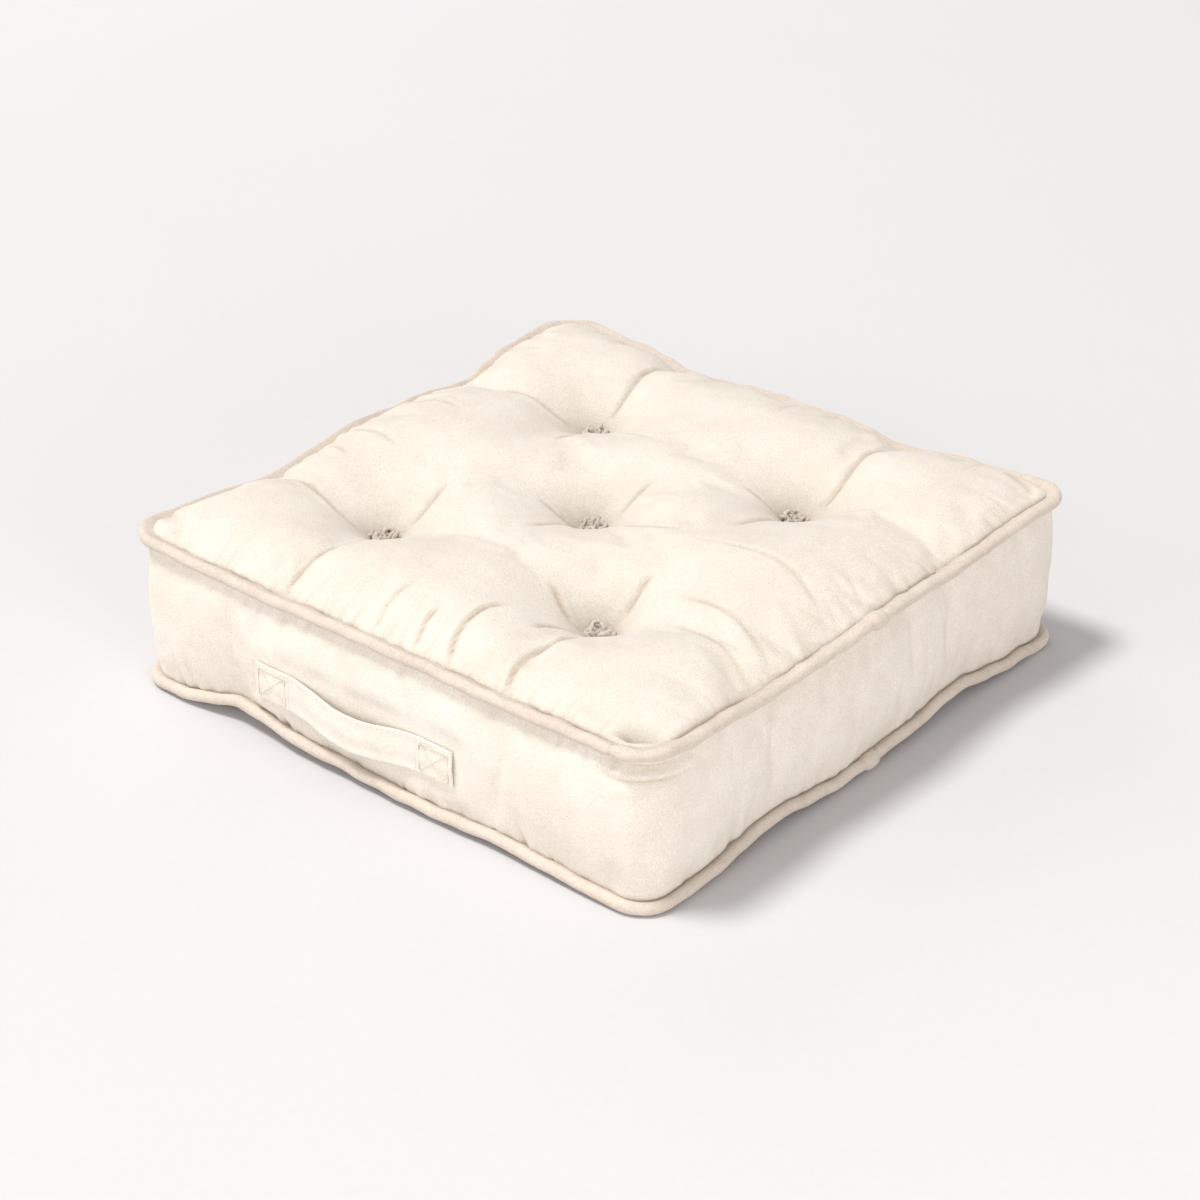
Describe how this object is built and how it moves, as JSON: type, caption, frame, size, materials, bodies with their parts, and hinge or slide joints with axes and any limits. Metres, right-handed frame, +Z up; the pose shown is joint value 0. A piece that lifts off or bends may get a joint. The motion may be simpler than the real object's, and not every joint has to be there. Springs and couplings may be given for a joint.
{
  "type": "floor cushion",
  "caption": "Square tufted box floor cushion in pale velour with piped seams and a carrying strap that swings out from one side.",
  "frame": {"origin": "centre of the footprint, at floor level", "axes": "+Z up; -Y is the side with the carrying strap; X runs along that side"},
  "size_m": [0.498, 0.5048, 0.1418],
  "materials": {
    "velour": "short matt pile, ivory, with a soft sheen on the folds",
    "piping_velour": "the same velour cut on the bias, slightly darker where it is stretched over the cord",
    "piping_cord": "twisted undyed cotton cord",
    "sewing_thread": "matt spun thread",
    "filling": "loose white polyester fibre",
    "tufting_twine": "waxed twisted cotton twine",
    "tuft_cotton": "bundle of soft cotton strands with frayed ends"
  },
  "bodies": {
    "cushion": {"top_panel": "velour", "bottom_panel": "velour", "boxing_front_right": "velour", "boxing_back_left": "velour", "top_piping_cover": "piping_velour", "bottom_piping_cover": "piping_velour", "top_piping_cord": "piping_cord", "bottom_piping_cord": "piping_cord", "top_seam_thread": "sewing_thread", "bottom_seam_thread": "sewing_thread", "fibre_filling": "filling", "twine_centre": "tufting_twine", "twine_front": "tufting_twine", "twine_right": "tufting_twine", "twine_back": "tufting_twine", "twine_left": "tufting_twine", "top_tuft_centre": "tuft_cotton", "top_tuft_front": "tuft_cotton", "top_tuft_right": "tuft_cotton", "top_tuft_back": "tuft_cotton", "top_tuft_left": "tuft_cotton", "bottom_tuft_centre": "tuft_cotton", "bottom_tuft_front": "tuft_cotton", "bottom_tuft_right": "tuft_cotton", "bottom_tuft_back": "tuft_cotton", "bottom_tuft_left": "tuft_cotton", "strap_end_left": "velour", "strap_end_right": "velour", "strap_stitching_left": "sewing_thread", "strap_stitching_right": "sewing_thread"},
    "strap": {"strap_loop": "velour"}
  },
  "joints": [
    {"name": "strap_swing", "type": "hinge", "parent": "cushion", "child": "strap", "pos_m": [-0.022, -0.2443, 0.065], "axis": [-1, 0, 0], "range_deg": [0, 90]}
  ]
}
